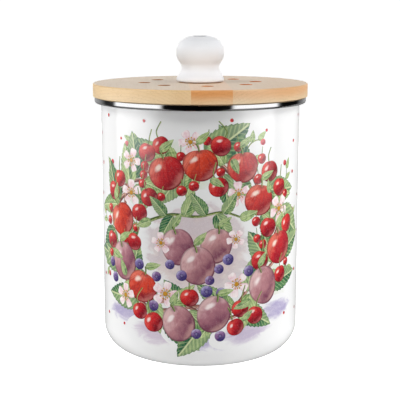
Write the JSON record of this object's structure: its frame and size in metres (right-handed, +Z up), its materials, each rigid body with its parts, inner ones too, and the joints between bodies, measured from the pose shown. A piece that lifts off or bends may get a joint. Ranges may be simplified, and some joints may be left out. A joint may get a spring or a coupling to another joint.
{
  "type": "compost caddy",
  "caption": "Round enamelled steel caddy for kitchen scraps with a stainless rim and a vented wooden lift-off lid that has a porcelain knob and a twist-off charcoal filter holder.",
  "frame": {"origin": "centre of the standing ring, in the plane that the caddy stands on", "axes": "+Z up along the can's axis; the side that faces the picture's camera is -Y; the lid's staves run along Y to within 2.5 degrees"},
  "size_m": [0.17, 0.17, 0.2505],
  "materials": {
    "enamel": "gloss",
    "stainless": "polished",
    "lid_wood": "satin",
    "silicone": "satin",
    "porcelain": "gloss",
    "cork_rubber": "matte",
    "brass": "satin",
    "zinc_steel": "satin",
    "filter_plastic": "matte",
    "charcoal_fleece": "matte"
  },
  "bodies": {
    "can": {"can_shell": "enamel", "rim_band": "stainless"},
    "lid": {"lid_stave_1": "lid_wood", "lid_stave_2": "lid_wood", "lid_stave_3": "lid_wood", "seal_ring": "silicone", "knob": "porcelain", "knob_pad": "cork_rubber", "knob_insert": "brass", "knob_screw": "zinc_steel", "knob_washer": "zinc_steel", "filter_ring": "filter_plastic", "filter_ring_screws": "zinc_steel"},
    "filter_cover": {"filter_cover": "filter_plastic", "charcoal_filter": "charcoal_fleece"}
  },
  "joints": [
    {"name": "lid_lift", "type": "slide", "parent": "can", "child": "lid", "axis": [0, 0, 1], "range_m": [0, 0.12]},
    {"name": "filter_cover_turn", "type": "hinge", "parent": "lid", "child": "filter_cover", "pos_m": [0, 0, 0.19], "axis": [0, 0, 1], "range_deg": [0, 18]}
  ]
}
